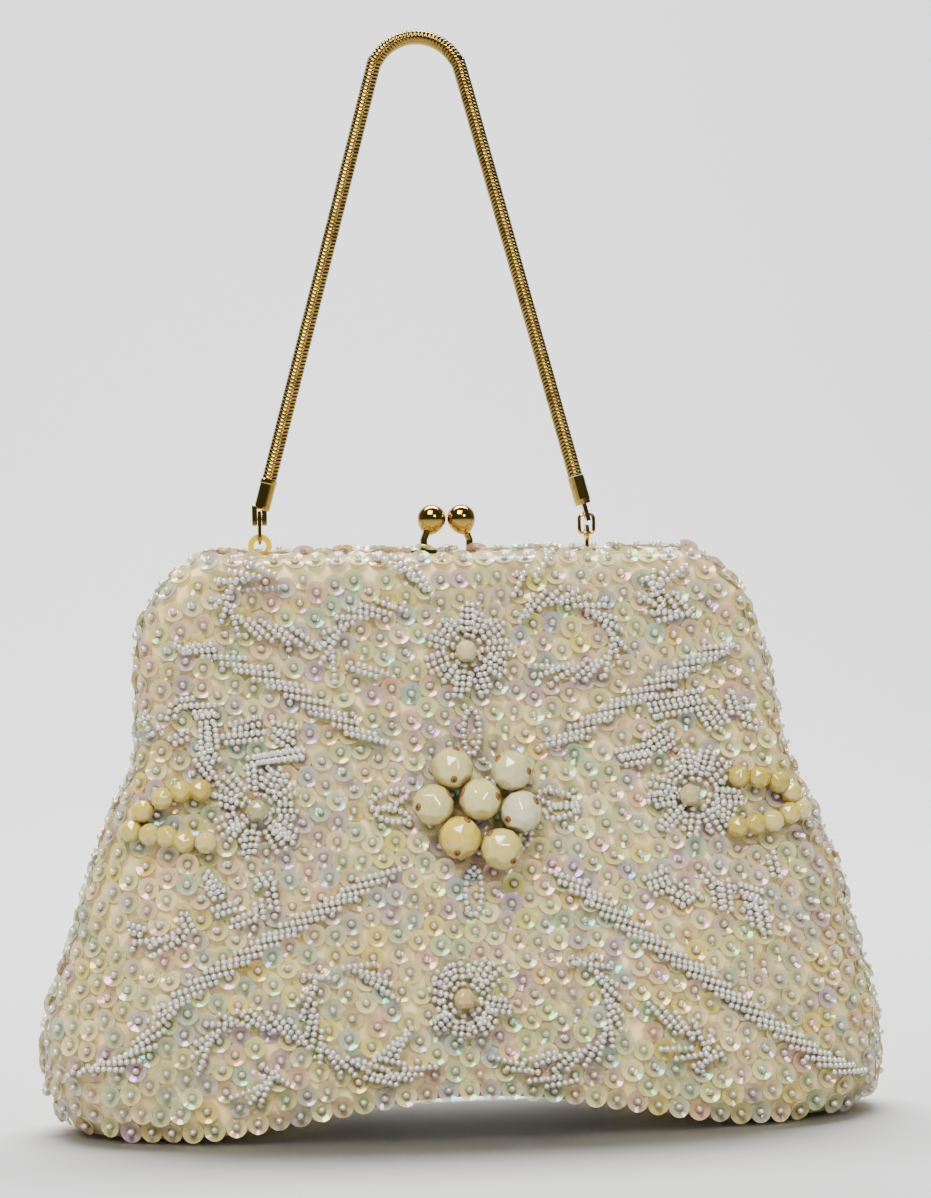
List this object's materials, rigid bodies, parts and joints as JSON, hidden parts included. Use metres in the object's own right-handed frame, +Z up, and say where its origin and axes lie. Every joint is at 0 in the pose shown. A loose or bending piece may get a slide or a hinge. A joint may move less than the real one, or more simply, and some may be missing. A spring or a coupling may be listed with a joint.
{
  "type": "beaded evening bag",
  "caption": "Ivory beaded evening bag on a cloth-covered hinged frame, with a two-ball kiss clasp, raised beadwork and a swinging snake chain handle.",
  "frame": {"origin": "on the floor, under the middle of the closed bag", "axes": "+Z up along the height; the beaded front faces -Y; +X is to the right of someone who looks at the front"},
  "size_m": [0.2314, 0.0579, 0.2984],
  "materials": {
    "beaded_satin": "ivory satin closely covered with clear iridescent sequins and seed beads",
    "cotton_interlining": "matt cotton wadding",
    "satin_lining": "smooth satin",
    "grey_board": "matt pressed board",
    "plated_steel": "thin gilt plate on folded strip",
    "polished_gilt_brass": "polished gilt",
    "pearl_seed_beads": "pearl lustre",
    "faceted_ivory_glass": "faceted with an iridescent coating",
    "flower_ivory_glass": "faceted with an iridescent coating",
    "strand_ivory_glass": "cut glass with an iridescent coating"
  },
  "bodies": {
    "bag": {"front_panel": "beaded_satin", "back_panel_lower": "beaded_satin", "back_panel_fold": "beaded_satin", "base_panel": "beaded_satin", "interlining_cup": "cotton_interlining", "front_interlining_facing": "cotton_interlining", "lining_cup": "satin_lining", "front_lining_facing": "satin_lining", "base_stiffener": "grey_board", "base_lining": "satin_lining", "inner_pocket": "satin_lining", "front_frame": "plated_steel", "hinge_pin_left": "plated_steel", "hinge_pin_right": "plated_steel", "front_clasp_stem": "polished_gilt_brass", "front_clasp_ball": "polished_gilt_brass", "seed_rope_upper_left": "pearl_seed_beads", "seed_rope_lower_left": "pearl_seed_beads", "seed_rope_upper_right": "pearl_seed_beads", "seed_rope_lower_right": "pearl_seed_beads", "seed_scroll_top_left": "pearl_seed_beads", "seed_scroll_top_right": "pearl_seed_beads", "seed_scroll_bottom_left": "pearl_seed_beads", "seed_scroll_bottom_right": "pearl_seed_beads", "seed_flower_top": "pearl_seed_beads", "seed_flower_bottom": "pearl_seed_beads", "seed_flower_left": "pearl_seed_beads", "seed_flower_right": "pearl_seed_beads", "flower_bead_top": "flower_ivory_glass", "flower_bead_bottom": "flower_ivory_glass", "flower_bead_left": "flower_ivory_glass", "flower_bead_right": "flower_ivory_glass", "centre_bead_1": "faceted_ivory_glass", "centre_bead_2": "faceted_ivory_glass", "centre_bead_3": "faceted_ivory_glass", "centre_bead_4": "faceted_ivory_glass", "centre_bead_5": "faceted_ivory_glass", "centre_bead_6": "faceted_ivory_glass", "centre_bead_7": "faceted_ivory_glass", "edge_strand_left_upper": "strand_ivory_glass", "edge_strand_left_lower": "strand_ivory_glass", "edge_strand_right_upper": "strand_ivory_glass", "edge_strand_right_lower": "strand_ivory_glass"},
    "rear_half": {"back_panel_upper": "beaded_satin", "back_interlining_facing": "cotton_interlining", "back_lining_facing": "satin_lining", "rear_frame": "plated_steel", "rear_clasp_stem": "polished_gilt_brass", "rear_clasp_ball": "polished_gilt_brass", "handle_lug_left": "polished_gilt_brass", "handle_lug_right": "polished_gilt_brass", "lug_rivet_left": "polished_gilt_brass", "lug_rivet_right": "polished_gilt_brass"},
    "link_left": {"chain_link_left": "polished_gilt_brass"},
    "link_right": {"chain_link_right": "polished_gilt_brass"},
    "handle": {"end_cap_left": "polished_gilt_brass", "end_cap_right": "polished_gilt_brass", "snake_chain": "polished_gilt_brass"}
  },
  "joints": [
    {"name": "frame_hinge", "type": "hinge", "parent": "bag", "child": "rear_half", "pos_m": [0, 0, 0.098], "axis": [-1, 0, 0], "range_deg": [0, 50], "deforming": ["back_panel_fold"]},
    {"name": "link_left_swing", "type": "hinge", "parent": "rear_half", "child": "link_left", "pos_m": [-0.054, 0.002, 0.1595], "axis": [-1, 0, 0], "range_deg": [-80, 80]},
    {"name": "link_right_swing", "type": "hinge", "parent": "rear_half", "child": "link_right", "pos_m": [0.036, 0.002, 0.1595], "axis": [-1, 0, 0], "range_deg": [-80, 80]},
    {"name": "handle_swing", "type": "hinge", "parent": "link_left", "child": "handle", "pos_m": [-0.054, 0.002, 0.1645], "axis": [-1, 0, 0], "range_deg": [-15, 53]}
  ],
  "couplings": [
    {"joint": "link_right_swing", "follows": "link_left_swing", "ratio": 1}
  ]
}
